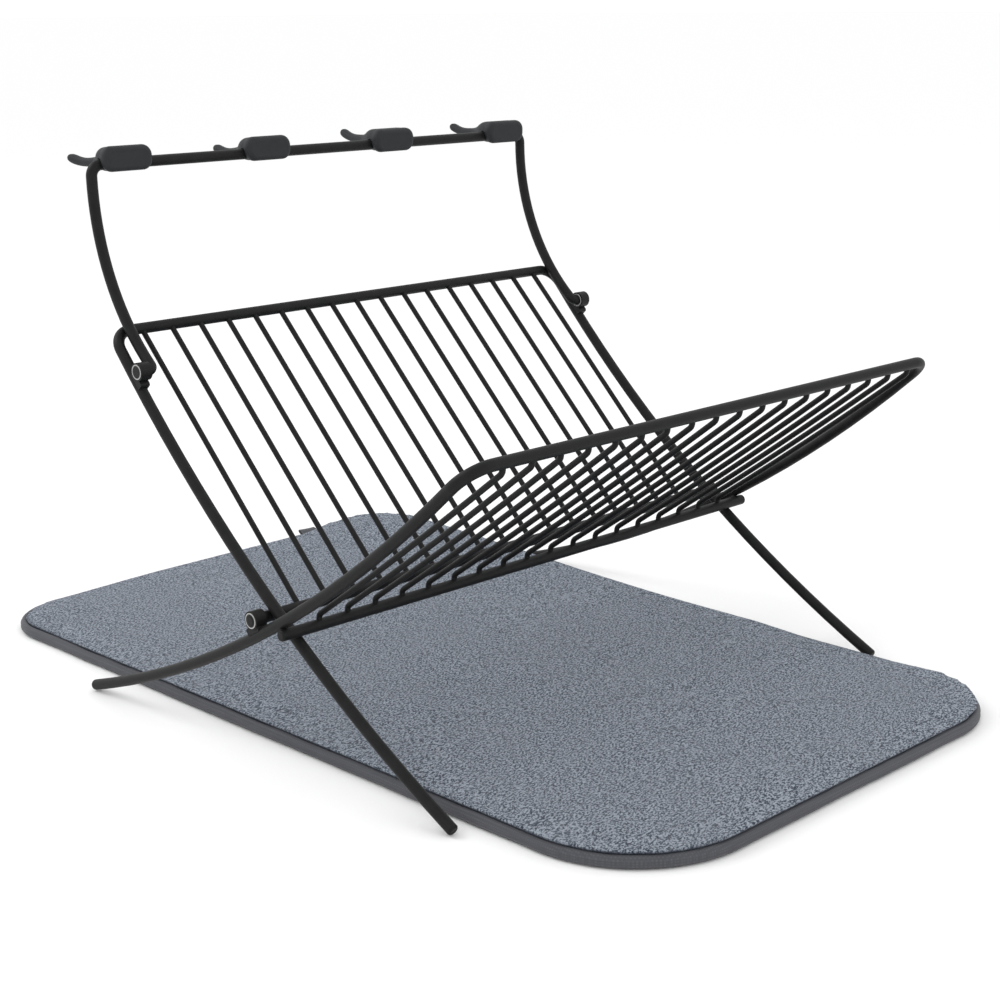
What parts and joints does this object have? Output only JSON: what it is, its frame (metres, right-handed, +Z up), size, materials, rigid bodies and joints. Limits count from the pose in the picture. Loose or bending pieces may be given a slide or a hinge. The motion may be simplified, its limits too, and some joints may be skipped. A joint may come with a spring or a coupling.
{
  "type": "dish drying rack",
  "caption": "Folding two-sided dish drying rack of bent rod with plate wires and a fold-down frame of hook clips, standing over a padded terry drying mat.",
  "frame": {"origin": "on the table, under the middle of the mat", "axes": "+Z up, +X along the rods from the left side to the right side, front of the rack towards -Y"},
  "size_m": [0.4824, 0.708, 0.4004],
  "materials": {
    "black_powder_coat": "fine-textured black powder coat on steel rod",
    "bush_nylon": "plain moulded light grey nylon",
    "clip_rubber": "matte dark grey moulded rubber",
    "mat_terry": "blue-grey microfibre terry with short loops",
    "mat_binding_tape": "dark grey woven edge binding",
    "mat_backing_cloth": "dark grey flat-woven backing",
    "mat_foam": "open-cell foam, hidden inside the mat"
  },
  "bodies": {
    "back_rack": {"back_frame_rod": "black_powder_coat", "axle_bar": "black_powder_coat", "back_wires": "black_powder_coat", "upper_hinge_barrel_left": "black_powder_coat", "upper_hinge_barrel_right": "black_powder_coat", "upper_hinge_bush_left": "bush_nylon", "upper_hinge_bush_right": "bush_nylon"},
    "front_rack": {"front_frame_rod": "black_powder_coat", "stop_bar": "black_powder_coat", "front_wires": "black_powder_coat", "lower_hinge_barrel_left": "black_powder_coat", "lower_hinge_barrel_right": "black_powder_coat", "lower_hinge_bush_left": "bush_nylon", "lower_hinge_bush_right": "bush_nylon"},
    "hook_frame": {"hook_frame_rod": "black_powder_coat"},
    "clip_1": {"hook_clip_1": "clip_rubber"},
    "clip_2": {"hook_clip_2": "clip_rubber"},
    "clip_3": {"hook_clip_3": "clip_rubber"},
    "clip_4": {"hook_clip_4": "clip_rubber"},
    "drying_mat": {"mat_backing": "mat_backing_cloth", "mat_foam_core": "mat_foam", "mat_terry_top": "mat_terry", "mat_edge_binding": "mat_binding_tape", "mat_hanging_tab": "mat_binding_tape"}
  },
  "joints": [
    {"name": "front_rack_fold", "type": "hinge", "parent": "back_rack", "child": "front_rack", "pos_m": [0, -0.03712, 0.10261], "axis": [-1, 0, 0], "range_deg": [0, 73]},
    {"name": "hook_frame_fold", "type": "hinge", "parent": "back_rack", "child": "hook_frame", "pos_m": [0, 0.09804, 0.2498], "axis": [1, 0, 0], "range_deg": [0, 156]},
    {"name": "clip_1_swivel", "type": "hinge", "parent": "hook_frame", "child": "clip_1", "pos_m": [-0.189, 0.16123, 0.3875], "axis": [-1, 0, 0], "range_deg": [0, 105]},
    {"name": "clip_2_swivel", "type": "hinge", "parent": "hook_frame", "child": "clip_2", "pos_m": [-0.063, 0.16123, 0.3875], "axis": [-1, 0, 0], "range_deg": [0, 105]},
    {"name": "clip_3_swivel", "type": "hinge", "parent": "hook_frame", "child": "clip_3", "pos_m": [0.063, 0.16123, 0.3875], "axis": [-1, 0, 0], "range_deg": [0, 105]},
    {"name": "clip_4_swivel", "type": "hinge", "parent": "hook_frame", "child": "clip_4", "pos_m": [0.189, 0.16123, 0.3875], "axis": [-1, 0, 0], "range_deg": [0, 105]},
    {"name": "mat_slide", "type": "slide", "parent": "back_rack", "child": "drying_mat", "axis": [0, -1, 0], "range_m": [0, 0.3]}
  ]
}
